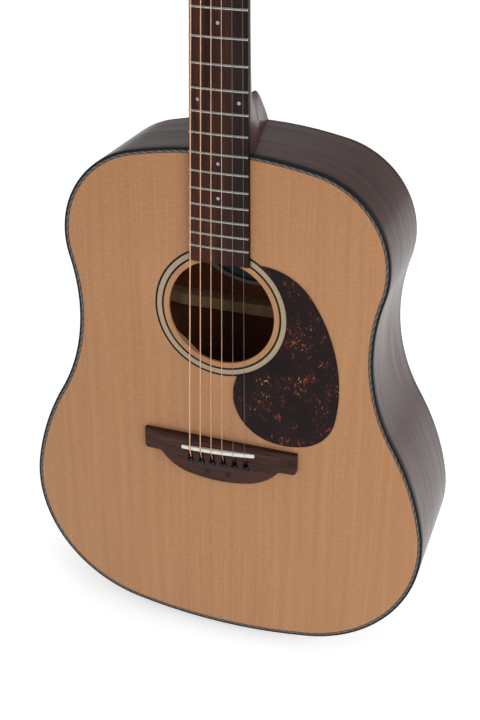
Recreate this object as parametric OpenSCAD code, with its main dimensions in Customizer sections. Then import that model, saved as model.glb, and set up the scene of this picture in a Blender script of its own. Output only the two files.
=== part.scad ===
// Steel-string acoustic guitar, upright, front towards -Y.
// x = 0 is the centre line, y = 0 the top face of the soundboard,
// z = 0 the edge of the nut that the strings leave towards the bridge.
// +X is the treble side.

/* [Scale and neck] */
// Open string length from nut to saddle
scale_length = 644; // [636:1:652]
// Number of frets on the fingerboard
fret_count = 20; // [18:1:20]
// Fret at which the neck meets the body
body_fret = 14; // [14:1:14]
// Width of the fingerboard at the nut
nut_width = 42.5; // [41:0.5:46]
// Width of the fingerboard at the last fret
board_end_width = 55; // [53:0.5:58]
// Thickness of the fingerboard on its centre line
board_thick = 6; // [5:0.5:7]
// Radius of the fingerboard's crowned face
board_radius = 305; // [250:5:400]
// Depth of the neck below the fingerboard at the nut
neck_depth = 14.5; // [14:0.5:17]

/* [Headstock] */
// Length of the headstock
head_length = 185; // [180:1:200]
// Backward tilt of the headstock
head_tilt = 14; // [11:1:17]
// Thickness of the headstock with its front veneer
head_thick = 16; // [15:0.5:17]
// Distance of each tuner post from the centre line
post_x = 24; // [23:0.5:25]
// Distance from the nut to the first pair of posts
post_first = 45; // [43:1:50]
// Distance between neighbouring posts on one side
post_pitch = 40; // [38:1:42]

/* [Body] */
// Depth of the body where the neck joins
depth_neck = 101.2; // [95:0.1:108]
// Depth of the body at the tail
depth_tail = 127.9; // [118:0.1:135]
// Thickness of the soundboard
top_thick = 2.8; // [2.5:0.1:3.2]
// Thickness of the back plate
back_thick = 3; // [2.5:0.1:3.5]
// Thickness of the ribs
rib_thick = 2.2; // [2:0.1:2.6]
// Radius of the soundhole
hole_radius = 50; // [48:0.5:50]
// Distance from the nut to the centre of the soundhole
hole_distance = 505.5; // [504:0.5:507]

/* [Strings and bridge] */
// String spacing at the nut, first to sixth
nut_spacing = 36.4; // [35:0.1:38]
// String spacing at the saddle, first to sixth
saddle_spacing = 54.7; // [53:0.1:56]
// Height of the saddle's crown above the soundboard
saddle_height = 11.9; // [11:0.1:12.4]
// Thickness of the bridge
bridge_thick = 8.5; // [8:0.1:9]
// Radius of a bridge pin's shaft
pin_radius = 2.4; // [2.3:0.05:2.5]

/* [Hidden] */
$fn = 48;
eps = 0.02;
// facets of the large crowned cylinders
crown_fn = 960;
string_radius = [0.15, 0.205, 0.305, 0.405, 0.535, 0.675];
wound_from = 3;

// ---- body outline: tangent arcs from the tail to the shoulder ----
// each arc is [radius, sweep]; a negative radius curves the other way, at the waist
body_arcs = [[498, 10.7], [131, 89.3], [262, 20.2], [-182, 46.2], [86, 93.2]];
outline_step = 5;
binding_w = 1.9;
binding_h = 5.5;
purfling_w = 2.4;
purfling_d = 1.3;
trim_w = binding_w + purfling_w;

function turn(arc) = arc[0] < 0 ? -arc[1] : arc[1];
function arc_end(s, r, t) =
    [s[0] + r * (sin(s[2] + t) - sin(s[2])), s[1] + r * (cos(s[2]) - cos(s[2] + t)), s[2] + t];
function arc_start(arcs, i, inset, first) =
    i == 0 ? first : arc_end(arc_start(arcs, i - 1, inset, first), arcs[i - 1][0] - inset, turn(arcs[i - 1]));
function arc_points(arcs, inset, first, step) = [
    for (i = [0:len(arcs) - 1])
        let (s = arc_start(arcs, i, inset, first), t = turn(arcs[i]), n = ceil(abs(t) / step))
        for (k = [0:n - 1]) let (p = arc_end(s, arcs[i][0] - inset, t * k / n)) [p[0], p[1]]];

shoulder = arc_start(body_arcs, 5, 0, [0, 0, 0]);
shoulder_arc = [shoulder[0] / sin(shoulder[2]), 180 - shoulder[2]];
outline_arcs = concat(body_arcs, [shoulder_arc]);
body_length = shoulder[1] + shoulder_arc[0] * (1 + cos(shoulder[2]));
function fret_at(n) = scale_length * (1 - pow(2, -n / 12));
top_z = -fret_at(body_fret) + 2;
tail_z = top_z - body_length;
function half_outline(inset) = arc_points(outline_arcs, inset, [0, inset, 0], outline_step);
function mirrored(pts) = [for (i = [len(pts) - 1:-1:1]) [-pts[i][0], pts[i][1]]];
function full_outline(inset) =
    let (h = half_outline(inset)) concat(h, [[0, body_length - inset]], mirrored(h));

back_angle = atan((depth_tail - depth_neck) / body_length);
far = 400;
deep = 200;

// extrudes an outline drawn in x and z from depth y0 to depth y1
module slab(y0, y1) {
    translate([0, y1, 0]) rotate([90, 0, 0]) linear_extrude(y1 - y0) children();
}
module plan(inset) {
    translate([0, tail_z]) polygon(full_outline(inset));
}
module ring(outer, inner) {
    difference() {
        plan(outer);
        plan(inner);
    }
}
// a layer parallel to the sloping back, from off to off + t inside its outer face
module back_layer(off, t) {
    translate([0, depth_neck, top_z]) rotate([back_angle, 0, 0])
        translate([-far, -off - t, -2 * far]) cube([2 * far, t, 3 * far]);
}
function back_y(z) = depth_neck + (top_z - z) * tan(back_angle);
module half_space(side) {
    translate([side > 0 ? eps : -far - eps, -far, -3 * far]) cube([far, 2 * far, 4 * far]);
}
module place_rod(p, q) {
    d = q - p;
    translate(p) rotate([0, acos(d[2] / norm(d)), atan2(d[1], d[0])]) children();
}
module bar_between(p, q, w, h, y) {
    d = q - p;
    translate([p[0], y, p[1]]) rotate([0, atan2(d[0], d[1]), 0]) {
        scallop = 0.28 * norm(d);
        translate([w / 2, 0, 0]) rotate([0, -90, 0]) linear_extrude(w)
            polygon([[0, 0], [norm(d), 0], [norm(d), h * 0.3], [norm(d) - scallop, h],
                     [scallop, h], [0, h * 0.3]]);
    }
}

// ---- body shell ----
spruce = [0.78, 0.60, 0.40];
mahogany = [0.28, 0.13, 0.09];
rosewood = [0.22, 0.13, 0.11];
tail_strip_w = 12;
inner_w = 7.5;

module soundboard() color(spruce) difference() {
    union() {
        slab(0, top_thick) plan(trim_w);
        slab(purfling_d, top_thick) plan(binding_w);
    }
    slab(-1, top_thick + 1) translate([0, -hole_distance]) circle(hole_radius, $fn = 96);
    slab(-1, rosette_depth) translate([0, -hole_distance]) difference() {
        circle(rosette_outer, $fn = 96);
        circle(rosette_inner, $fn = 96);
    }
    pin_holes();
    bolt_holes(bolt_hole_r);
}
module rib(side) color(mahogany) intersection() {
    difference() {
        slab(binding_h, deep) ring(0, rib_thick);
        back_layer(-far, far + binding_h);
        translate([-tail_strip_w / 2, 0, tail_z - 1]) cube([tail_strip_w, far, rib_thick + 4]);
        rod_channel();
    }
    half_space(side);
}
module tail_strip() color([0.08, 0.07, 0.06]) difference() {
    intersection() {
        slab(binding_h, deep) ring(0, rib_thick);
        translate([-tail_strip_w / 2, 0, tail_z - 1]) cube([tail_strip_w, far, rib_thick + 4]);
    }
    back_layer(-far, far + binding_h);
    strap_hole();
}
module back_plate() color(mahogany) intersection() {
    slab(0, deep) plan(binding_w);
    back_layer(0, back_thick);
}
module top_binding() color([0.1, 0.1, 0.1]) difference() {
    slab(0, binding_h) ring(0, binding_w);
    translate([0, top_thick, 0]) rod_channel();
}
module top_purfling() color([0.55, 0.53, 0.5]) slab(0, purfling_d) ring(binding_w, trim_w);
module back_binding() color([0.1, 0.1, 0.1]) intersection() {
    slab(0, deep) ring(0, binding_w);
    back_layer(0, binding_h);
}
lining_depth = 15;
block_gap = 0.05;
module top_lining() color(spruce) difference() {
    union() {
        slab(top_thick, binding_h) ring(binding_w, inner_w);
        slab(binding_h, top_thick + lining_depth) ring(rib_thick, inner_w);
    }
    rod_channel();
    block_room();
}
module back_lining() color(spruce) difference() {
    union() {
        intersection() {
            slab(0, deep) ring(binding_w, inner_w);
            back_layer(back_thick, binding_h - back_thick);
        }
        intersection() {
            slab(0, deep) ring(rib_thick, inner_w);
            back_layer(binding_h, lining_depth - binding_h);
        }
    }
    block_room();
}
neck_block_w = 76;
neck_block_l = 56;
tail_block_w = 60;
tail_block_l = 24;
module block_plan(w, z0, z1, grow) {
    intersection() {
        plan(rib_thick);
        translate([-w / 2 - grow, z0 - grow]) square([w + 2 * grow, z1 - z0 + 2 * grow]);
    }
}
module block_room() {
    slab(0, deep) block_plan(neck_block_w, top_z - neck_block_l, top_z, block_gap);
    slab(0, deep) block_plan(tail_block_w, tail_z, tail_z + tail_block_l, block_gap);
}
module body_block(w, z0, z1) difference() {
    slab(binding_h, deep) block_plan(w, z0, z1, 0);
    back_layer(-far, far + binding_h);
}
module block_ends(w, z0, z1) {
    slab(top_thick, binding_h) intersection() {
        plan(rib_thick);
        translate([-w / 2, z0]) square([w, z1 - z0]);
    }
}
module neck_block() color(mahogany) difference() {
    union() {
        body_block(neck_block_w, top_z - neck_block_l, top_z);
        block_ends(neck_block_w, top_z - neck_block_l, top_z);
    }
    rod_channel();
}
module tail_block() color(mahogany) difference() {
    union() {
        body_block(tail_block_w, tail_z, tail_z + tail_block_l);
        block_ends(tail_block_w, tail_z, tail_z + tail_block_l);
    }
    strap_hole();
}

// ---- braces ----
x_cross = -hole_distance - 84;
x_angle = 47;
x_up = 158;
x_down = 205;
brace_w = 8;
brace_h = 15;
function on_ray(side, up, l) = [side * up * l * sin(x_angle), x_cross + up * l * cos(x_angle)];
module x_brace() color(spruce) for (side = [-1, 1])
    bar_between(on_ray(side, 1, x_up), on_ray(side, -1, x_down), brace_w, brace_h, top_thick);
upper_z = top_z - 72;
upper_half = 118;
module top_braces() color(spruce) {
    bar_between([86, x_cross - 116], [-58, x_cross - 172], 7, 11, top_thick);
    bar_between([118, x_cross - 160], [-26, x_cross - 222], 7, 10, top_thick);
    difference() {
        bar_between([-upper_half, upper_z], [upper_half, upper_z], 12, 17, top_thick);
        rod_channel();
    }
}
module bridge_plate() color(mahogany) difference() {
    slab(top_thick, top_thick + plate_thick)
        polygon([[-44, -641.5], [44, -641.5], [80, -684], [-80, -684]]);
    pin_holes();
    bolt_holes(bolt_hole_r);
}
back_brace_z = [top_z - 82, top_z - 188, top_z - 300, top_z - 410];
back_brace_half = [125, 118, 158, 172];
back_brace_w = 12;
back_brace_h = 15;
back_brace_tip = 4;
back_brace_taper = 42;
// let 0.4 mm into the back plate, then trimmed to its inner face
module back_brace(i) {
    half = back_brace_half[i];
    right = [[half, 0], [half, back_brace_tip], [half - back_brace_taper, back_brace_h]];
    translate([0, back_y(back_brace_z[i]) - back_thick + 0.4, back_brace_z[i]])
        rotate([back_angle + 180, 0, 0]) linear_extrude(back_brace_w, center = true)
            polygon(concat(right, [for (k = [2:-1:0]) [-right[k][0], right[k][1]]]));
}
module back_braces() color(spruce) difference() {
    for (i = [0:3]) back_brace(i);
    back_layer(-far, far + back_thick);
}
label_rx = 60;
label_rz = 37;
label_z = -486.5;
label_t = 0.3;
module label_oval(rx, rz) {
    translate([0, label_z])
        polygon([for (a = [0:7.5:359]) [rx * cos(a), rz * sin(a)]]);
}
module label() color([0.3, 0.35, 0.45]) intersection() {
    slab(0, deep) label_oval(label_rx, label_rz);
    back_layer(back_thick, label_t);
}

// ---- rosette and pickguard ----
rosette_inner = 55;
rosette_line = 56.9;
rosette_cream = 61.4;
rosette_outer = 63.3;
rosette_depth = 1;
module rosette_ring(r0, r1) slab(0, rosette_depth) translate([0, -hole_distance]) difference() {
    circle(r1, $fn = 96);
    circle(r0, $fn = 96);
}
module rosette() {
    color([0.1, 0.1, 0.1]) rosette_ring(rosette_inner, rosette_line);
    color([0.9, 0.86, 0.76]) rosette_ring(rosette_line, rosette_cream);
    color([0.1, 0.1, 0.1]) rosette_ring(rosette_cream, rosette_outer);
}

guard_start = [31.4, -454.6, 5];
guard_arcs = [[-58, 60], [-157, 45.5], [-40, 63], [-67, 29], [-46, 101]];
guard_t = 1;
guard_inner_r = 61.9;
module pickguard() color([0.12, 0.06, 0.05]) slab(-guard_t, 0) difference() {
    polygon(concat(arc_points(guard_arcs, 0, guard_start, 5), [[14, -540], [24, -470]]));
    translate([0, -hole_distance]) circle(guard_inner_r, $fn = 96);
}

// ---- bridge ----
bridge_half = 76.3;
bridge_top_z = -637.5;
bridge_low_z = -682;
// lower edge from the centre line outwards: a flat belly, a tighter turn and the curve into the wing
belly_arcs = [[143, 12], [48, 39.6], [-6, 51.6]];
belly_end = arc_start(belly_arcs, 3, 0, [0, bridge_low_z, 0]);
belly_reach = belly_end[0];
wing_low_z = belly_end[1];
// from here to its ends the bridge slopes down to the wings' thickness
wing_from = 52;
wing_t = 5;
bridge_edge = 2;
plate_thick = 2.6;
saddle_half = 36.5;
saddle_slant = atan(4.3 / 73);
saddle_mid_z = -scale_length - 1.9;
saddle_t = 3.4;
pin_mid_z = -661.2;
pin_slant = 0.036;
pin_spacing = 55.5;
string_side = 1.9;
pin_clear = 0.05;
corner_r = 4;
module bridge_plan(inset) {
    low = arc_points(belly_arcs, inset, [0, bridge_low_z + inset, 0], 6);
    right = concat(low, [
        [belly_reach, wing_low_z + inset],
        [bridge_half - corner_r, wing_low_z + inset],
        [bridge_half - inset - 1, wing_low_z + inset + 1.2],
        [bridge_half - inset, wing_low_z + corner_r],
        [bridge_half - inset, bridge_top_z - inset]]);
    polygon(concat(right, [[0, bridge_top_z - inset]], mirrored(right)));
}
function nut_x(i) = (3.5 - i) / 5 * nut_spacing;
function saddle_x(i) = (3.5 - i) / 5 * saddle_spacing;
function pin_x(i) = (3.5 - i) / 5 * pin_spacing;
function pin_z(i) = pin_mid_z + pin_slant * pin_x(i);
function crown(x) = x * x / (2 * board_radius);

module pin_holes() for (i = [1:6]) {
    translate([pin_x(i), -bridge_thick - 5, pin_z(i)]) rotate([-90, 0, 0])
        cylinder(r = pin_radius + pin_clear, h = 30);
    translate([pin_x(i), -bridge_thick - 5, pin_z(i) + string_side]) rotate([-90, 0, 0])
        cylinder(r = string_radius[i - 1] + 0.25, h = 30);
}
// a slot in the bridge for each string, from its pin up towards the saddle
ramp_w = 4.4;
ramp_depth = 4.4;
ramp_end_depth = 2.2;
ramp_length = 10.5;
module string_ramps() for (i = [1:6])
    translate([pin_x(i) - ramp_w / 2, -bridge_thick, pin_z(i)]) rotate([90, 0, 90]) linear_extrude(ramp_w)
        polygon([[-1, 0], [ramp_depth, 0], [ramp_end_depth, ramp_length], [-1, ramp_length]]);
bolt_x = 10.6;
bolt_z = -670.5;
bolt_r = 2;
bolt_hole_r = 2.1;
dot_r = 3;
dot_t = 1.2;
module at_bolts() for (x = [-bolt_x, bolt_x]) translate([x, 0, bolt_z]) rotate([-90, 0, 0]) children();
module bolt_holes(r) at_bolts() translate([0, 0, -far / 10]) cylinder(r = r, h = far / 5);
module saddle_slot() {
    translate([0, 0, saddle_mid_z]) rotate([0, -saddle_slant, 0])
        translate([-saddle_half, -20, -saddle_t / 2]) cube([2 * saddle_half, 16, saddle_t]);
}
module bridge() color(rosewood) difference() {
    union() {
        slab(-wing_t, 0) bridge_plan(0);
        intersection() {
            slab(-bridge_thick, -wing_t) bridge_plan(bridge_edge);
            translate([0, 0, bridge_low_z]) linear_extrude(60)
                polygon([[-bridge_half, -wing_t], [-wing_from, -bridge_thick], [wing_from, -bridge_thick],
                         [bridge_half, -wing_t]]);
        }
    }
    pin_holes();
    string_ramps();
    saddle_slot();
    bolt_holes(bolt_hole_r);
    at_bolts() translate([0, 0, -bridge_thick - 5]) cylinder(r = dot_r, h = 5 + dot_t + 2);
}
module saddle() color([0.93, 0.92, 0.88]) intersection() {
    saddle_slot();
    translate([0, board_radius - saddle_height, -scale_length - 40])
        cylinder(r = board_radius, h = 80, $fn = crown_fn);
}
module bridge_bolts() color("silver") at_bolts() {
    translate([0, 0, -bridge_thick + dot_t]) cylinder(r = dot_r - 0.1, h = 2);
    translate([0, 0, -bridge_thick + dot_t + 1]) cylinder(r = bolt_r, h = bridge_thick + 10);
    translate([0, 0, top_thick + plate_thick]) cylinder(r = 4, h = 3.2, $fn = 6);
}
module bridge_dots() color([0.08, 0.08, 0.08]) at_bolts()
    translate([0, 0, -bridge_thick]) cylinder(r = dot_r, h = dot_t);
pin_head_r = 3.3;
pin_dome = 2.6;
pin_head_gap = 0.4;
module bridge_pin(i) color([0.08, 0.08, 0.08])
    translate([pin_x(i), -bridge_thick - pin_head_gap, pin_z(i)]) rotate([-90, 0, 0]) difference() {
        rotate_extrude($fn = 32)
            polygon(concat([[0, 24], [pin_radius - 0.5, 24], [pin_radius, 22], [pin_radius, 0],
                            [pin_head_r, 0]],
                           [for (a = [10:16:90]) [pin_head_r * cos(a), -pin_dome * sin(a) - 0.3]]));
        translate([-string_radius[i - 1] - 0.35, -far, -0.4])
            cube([2 * string_radius[i - 1] + 0.7, far - 0.7, 30]);
    }

// ---- neck and headstock ----
board_end_z = -456;
function board_half(z) = (nut_width + (board_end_width - nut_width) * -z / fret_at(20)) / 2;
head_y = -2;
nut_t = 5;
veneer_t = 2;
module head_frame() translate([0, head_y, nut_t]) rotate([-head_tilt, 0, 0]) children();
function head_point(p) = [p[0], head_y + p[1] * cos(head_tilt) + p[2] * sin(head_tilt),
                          nut_t - p[1] * sin(head_tilt) + p[2] * cos(head_tilt)];
module head_slab(y0, y1) head_frame() slab(y0, y1) children();
module head_plan() {
    half = [[nut_width / 2, 0], [24, 9], [30, 20], [34.5, 30], [36, 40], [37, 80], [36, 120], [33.5, 160],
            [31, head_length - 9], [26, head_length - 5], [14, head_length - 1.2]];
    polygon(concat([[0, 0]], half, [[0, head_length]], mirrored(concat([[0, 0]], half))));
}
// The shaft and heel are one loft. Each section runs from its front edge [y, z, half width]
// to its ridge [y, z]. The last number is 0 where it is half an ellipse and 1 where it comes
// to a point, as the heel does at its cap. The last sections stand on the body's shoulder.
heel_base_z = top_z - 3;
loft_rows = [
    [0, nut_t, nut_width / 2, neck_depth, nut_t, 0],
    [0, -80, board_half(-80), neck_depth + 0.8, -80, 0],
    [0, -160, board_half(-160), neck_depth + 1.6, -160, 0],
    [0, -240, board_half(-240), neck_depth + 2.5, -240, 0],
    [0, -268, board_half(-268), 18.4, -262, 0],
    [0, -292, board_half(-292), 22, -281, 0.05],
    [0, -315, board_half(-315), 28.5, -297, 0.1],
    [0, -334, board_half(-334), 38.5, -309, 0.15],
    [0, -348, board_half(-348), 50.5, -317, 0.2],
    [0, heel_base_z, board_half(heel_base_z), 62, -322, 0.25],
    [20, heel_base_z, 23.4, 71.5, -325, 0.3],
    [45, heel_base_z, 18.2, 80, -326.4, 0.35],
    [70, heel_base_z, 13.4, 87, -326.6, 0.45],
    [84, heel_base_z, 11.4, 92.5, -328, 0.6],
    [94, heel_base_z, 10.3, 97.5, -330.9, 0.8],
    [104, heel_base_z, 9.4, 104, -335.8, 1]];
loft_steps = 3;
loft_sides = 20;
function spline(a, b, c, d, t) =
    0.5 * ((2 * b) + (c - a) * t + (2 * a - 5 * b + 4 * c - d) * t * t + (3 * b - a - 3 * c + d) * t * t * t);
function loft_row(i) = loft_rows[max(0, min(i, len(loft_rows) - 1))];
// how fast a section narrows towards its ridge, and how fast it gets there
function narrow(row) = 1 + 0.9 * row[5];
function reach(row) = 1 + 0.7 * row[5];
function section(row) = [for (k = [0:loft_sides])
    let (a = 180 * k / loft_sides, side = a > 90 ? -1 : 1, x = side * pow(abs(cos(a)), narrow(row)),
         t = pow(sin(a), reach(row)))
    [row[2] * x, row[0] + (row[3] - row[0]) * t, row[1] + (row[4] - row[1]) * t]];
module neck_loft() {
    last = len(loft_rows) - 1;
    rows = concat([for (i = [0:last - 1]) for (k = [0:loft_steps - 1])
        spline(loft_row(i - 1), loft_row(i), loft_row(i + 1), loft_row(i + 2), k / loft_steps)],
        [loft_row(last)]);
    m = len(rows);
    n = loft_sides + 1;
    walls = [for (i = [0:m - 2]) for (k = [0:n - 1])
        let (a = i * n + k, b = i * n + (k + 1) % n, c = a + n, d = b + n) each [[a, b, c], [b, d, c]]];
    polyhedron([for (r = rows) each section(r)],
               concat(walls, [[for (k = [n - 1:-1:0]) k], [for (k = [0:n - 1]) (m - 1) * n + k]]));
}
heel_cap_t = 2.6;
rod_r = 3;
rod_y = 7.6;
rod_top_z = -14;
rod_end_z = -434;
rod_gap = 0.2;
module rod_channel() {
    low = rod_end_z - 30;
    translate([-rod_r - rod_gap, -1, low])
        cube([2 * (rod_r + rod_gap), rod_y + rod_r + rod_gap + 1.2, rod_top_z + rod_gap - low]);
}
// everything in front of the fingerboard's lower face, from the nut down
module before_neck() {
    translate([-far, -far, -2 * far]) cube([2 * far, far, 2 * far]);
}
module neck() color(mahogany) difference() {
    union() {
        neck_loft();
        head_slab(veneer_t, head_thick) head_plan();
    }
    slab(-1, deep) plan(0);
    back_layer(-far, far + heel_cap_t);
    before_neck();
    rod_channel();
    for (i = [1:6]) at_post(i) {
        cylinder(r = bushing_r + 0.02, h = 60, center = true);
        screw_place(i) cylinder(r = screw_r + 0.02, h = 8);
    }
}
module heel_cap() color([0.08, 0.07, 0.06]) difference() {
    intersection() {
        neck_loft();
        back_layer(0, heel_cap_t);
    }
    slab(-1, deep) plan(0);
}
module headplate() color(rosewood) difference() {
    head_slab(0, veneer_t) head_plan();
    translate([-far, -far, -far]) cube([2 * far, 2 * far, far + nut_t + eps]);
    for (i = [1:6]) at_post(i) cylinder(r = bushing_r + 0.02, h = 60, center = true);
}
module board_blank(y_low) {
    translate([0, 0, board_end_z]) intersection() {
        translate([0, 0, -board_end_z]) slab(-board_thick - 3, y_low)
            polygon([[-board_half(0), 0], [board_half(0), 0],
                     [board_half(board_end_z), board_end_z], [-board_half(board_end_z), board_end_z]]);
        children();
    }
}
module crowned(over) translate([0, board_radius - board_thick, -1])
    cylinder(r = board_radius + over, h = -board_end_z + 2, $fn = crown_fn);
tang_w = 0.6;
tang_d = 1.8;
dot_frets = [3, 5, 7, 9, 15, 17];
inlay_r = 1.5;
inlay_d = 1.2;
inlay_pair_x = 18;
module at_crown(x, z) translate([0, board_radius - board_thick, z])
    rotate([0, 0, asin(x / board_radius)]) translate([0, inlay_d - board_radius, 0])
        rotate([90, 0, 0]) children();
module inlay_places() {
    for (n = dot_frets) at_crown(0, -(fret_at(n - 1) + fret_at(n)) / 2) children();
    for (x = [-inlay_pair_x, inlay_pair_x]) at_crown(x, -(fret_at(11) + fret_at(12)) / 2) children();
}
module fingerboard() color(rosewood) difference() {
    board_blank(0) crowned(0);
    for (n = [1:fret_count]) translate([-far, -far - board_thick + tang_d + 1.3, -fret_at(n) - tang_w / 2])
        cube([2 * far, far, tang_w]);
    inlay_places() cylinder(r = inlay_r + eps / 2, h = 5);
}
module inlay_dots() color([0.75, 0.75, 0.72]) inlay_places() cylinder(r = inlay_r, h = inlay_d);
crown_h = 1.1;
crown_w = 2.3;
fret_profile = [[-tang_w / 2 + eps, -1.1], [tang_w / 2 - eps, -1.1], [tang_w / 2 - eps, 0], [crown_w / 2, 0],
                [crown_w / 2 - 0.1, 0.45], [0.55, 0.95], [0, crown_h], [-0.55, 0.95],
                [0.1 - crown_w / 2, 0.45], [-crown_w / 2, 0], [-tang_w / 2 + eps, 0]];
module fret(z) {
    half_angle = asin(board_half(z) / board_radius) * 1.3;
    translate([0, board_radius - board_thick, z]) rotate([0, 0, -90 - half_angle])
        rotate_extrude(angle = 2 * half_angle, $fn = 360)
            translate([board_radius, 0]) polygon([for (p = fret_profile) [p[1], p[0]]]);
}
module frets() color("silver") intersection() {
    union() for (n = [1:fret_count]) fret(-fret_at(n));
    slab(-20, 0) polygon([[-board_half(0), 0], [board_half(0), 0],
        [board_half(board_end_z), board_end_z], [-board_half(board_end_z), board_end_z]]);
}
nut_height = 8;
slot_height = 7.4;
module nut() color([0.93, 0.92, 0.88]) difference() {
    intersection() {
        translate([-nut_width / 2, -nut_height - 1, 0]) cube([nut_width, nut_height + 1, nut_t]);
        translate([0, board_radius - nut_height, -1]) cylinder(r = board_radius, h = 10, $fn = crown_fn);
    }
    for (i = [1:6]) {
        r = string_radius[i - 1] + 0.04;
        translate([nut_x(i), -slot_height + crown(nut_x(i)) - r + 0.04, -1]) {
            cylinder(r = r, h = 10);
            translate([-r, -5, 0]) cube([2 * r, 5, 10]);
        }
    }
}
module truss_rod() color("silver") {
    translate([0, rod_y, rod_end_z]) cylinder(r = rod_r, h = rod_top_z - rod_end_z);
    translate([0, rod_y, rod_end_z - 10]) cylinder(r = 4.4, h = 10, $fn = 6);
}

// ---- strings ----
ball_r = 2;
ball_w = 3.6;
function lift(p, r) = [p[0], p[1] - r, p[2]];
function string_path(i) =
    let (r = string_radius[i - 1], x = pin_x(i), z = pin_z(i), s = side(i), sx = saddle_x(i),
         saddle_z = saddle_mid_z + sx * tan(saddle_slant), y_saddle = -saddle_height + crown(sx) - r - eps,
         y_nut = -slot_height + crown(nut_x(i)) - r - eps / 2,
         post = head_point([s * (post_x - post_r - r - 0.15), -wind_y, post_z(i)]))
    [[x, top_thick + plate_thick + 1.2, z + string_side + 1.6],
     [x, top_thick + plate_thick - 0.4, z + string_side],
     [x, -bridge_thick + 2.2 + 0.5, z + string_side],
     [x, -bridge_thick + 1.6, z + string_side + 0.6],
     [sx, y_saddle, saddle_z - 0.7],
     [sx, y_saddle, saddle_z + 0.5],
     [nut_x(i), y_nut, 0],
     [nut_x(i), y_nut, nut_t - 0.6],
     [nut_x(i), y_nut + 0.4, nut_t + 0.6],
     post];
function unit(v) = v / norm(v);
function tube_ring(path, k, r, n) =
    let (last = len(path) - 1, t = unit(path[min(k + 1, last)] - path[max(k - 1, 0)]),
         u = unit([1, 0, 0] - t * t[0]), v = cross(t, u))
    [for (j = [0:n - 1]) path[k] + r * (cos(360 * j / n) * u + sin(360 * j / n) * v)];
module tube(path, r, n = 8) {
    m = len(path);
    points = [for (k = [0:m - 1]) each tube_ring(path, k, r, n)];
    walls = [for (k = [0:m - 2]) for (j = [0:n - 1])
        [k * n + j, k * n + (j + 1) % n, (k + 1) * n + (j + 1) % n, (k + 1) * n + j]];
    ends = [[for (j = [n - 1:-1:0]) j], [for (j = [0:n - 1]) (m - 1) * n + j]];
    polyhedron(points, concat([for (w = walls) [w[3], w[2], w[1], w[0]]],
                              [for (e = ends) [for (j = [n - 1:-1:0]) e[j]]]));
}
module string(i) color(i > wound_from - 1 ? [0.72, 0.5, 0.35] : [0.7, 0.7, 0.7]) {
    tube(string_path(i), string_radius[i - 1]);
    translate([pin_x(i) - ball_w / 2, top_thick + plate_thick + ball_r + eps,
               pin_z(i) + pin_radius + ball_r + 0.4])
        rotate([0, 90, 0]) cylinder(r = ball_r, h = ball_w, $fn = 24);
}

// ---- tuners ----
post_r = 3;
post_clear = 0.05;
bushing_r = 5;
wind_y = 9.6;
post_top = 12;
gear_teeth = 14;
gear_r = 5.4;
gear_t = 4;
gear_y = 18.6;
worm_r = 2.6;
shaft_r = 2;
worm_drop = gear_r + worm_r + 0.1;
worm_y = gear_y + gear_t / 2;
shell_x = [15.5, 32.5];
shell_z = [-12.6, 7.6];
shell_t = 1.6;
shell_depth = 10.6;
screw_r = 1;
lug = 5;
function side(i) = i <= 3 ? 1 : -1;
function row(i) = min(i - 1, 6 - i);
function post_z(i) = post_first + post_pitch * row(i);
module at_tuner(i) head_frame() translate([side(i) * post_x, 0, post_z(i)])
    mirror([side(i) > 0 ? 0 : 1, 0, 0]) children();
// along the post, from front to back
module at_post(i) at_tuner(i) rotate([-90, 0, 0]) children();
module screw_place(i) translate([0, -shell_z[1] - lug / 2, head_thick - 8]) children();
module tuner_housing() difference() {
    union() {
        translate([shell_x[0] - post_x, head_thick, shell_z[0]])
            cube([shell_x[1] - shell_x[0], shell_depth, shell_z[1] - shell_z[0]]);
        translate([-lug / 2, head_thick, shell_z[1] - 1]) cube([lug, 2, lug + 1]);
    }
    translate([shell_x[0] - post_x + shell_t, head_thick - 1, shell_z[0] + shell_t])
        cube([shell_x[1] - shell_x[0] - 2 * shell_t, shell_depth - shell_t + 1,
              shell_z[1] - shell_z[0] - 2 * shell_t]);
    translate([0, worm_y, -worm_drop]) rotate([0, 90, 0])
        cylinder(r = shaft_r + post_clear, h = 40, center = true);
    rotate([-90, 0, 0]) screw_place(1) cylinder(r = screw_r + 0.02, h = 12);
}
module tuner_housings() color("silver") for (i = [1:6]) at_tuner(i) tuner_housing();
module tuner_bushings() color("silver") for (i = [1:6]) at_post(i) rotate_extrude(convexity = 4)
    polygon([[post_r + post_clear, -2.2], [6.2, -2.2], [7, -1.4], [7, -eps], [bushing_r, -eps],
             [bushing_r, head_thick - 0.1], [post_r + post_clear, head_thick - 0.1]]);
module tuner_screws() color("silver") for (i = [1:6]) at_post(i) screw_place(i) {
    translate([0, 0, 0.4]) cylinder(r = screw_r, h = 9.7);
    translate([0, 0, 10.02]) cylinder(r = 2, h = 1);
}
module tuner_post(i) color("silver") at_post(i) {
    r = string_radius[i - 1];
    difference() {
        union() {
            translate([0, 0, -post_top]) cylinder(r = post_r, h = post_top + head_thick + 8.4);
            translate([0, 0, 1.2 * r + 0.1 - wind_y]) cylinder(r = post_r + 2 * r, h = 6 * r);
            translate([0, 0, gear_y]) linear_extrude(gear_t) gear_plan();
        }
        translate([-far, 0, -wind_y]) rotate([0, 90, 0]) cylinder(r = 0.8, h = 2 * far, $fn = 16);
    }
}
module gear_plan() {
    pitch = 360 / gear_teeth;
    tooth = [[-0.3, gear_r - 1.2], [-0.16, gear_r], [0.16, gear_r], [0.3, gear_r - 1.2]];
    polygon([for (k = [0:gear_teeth - 1]) for (p = tooth)
        p[1] * [cos((k + p[0]) * pitch), sin((k + p[0]) * pitch)]]);
}
knob_x = [18.6, 37];
knob_r = 9;
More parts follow.
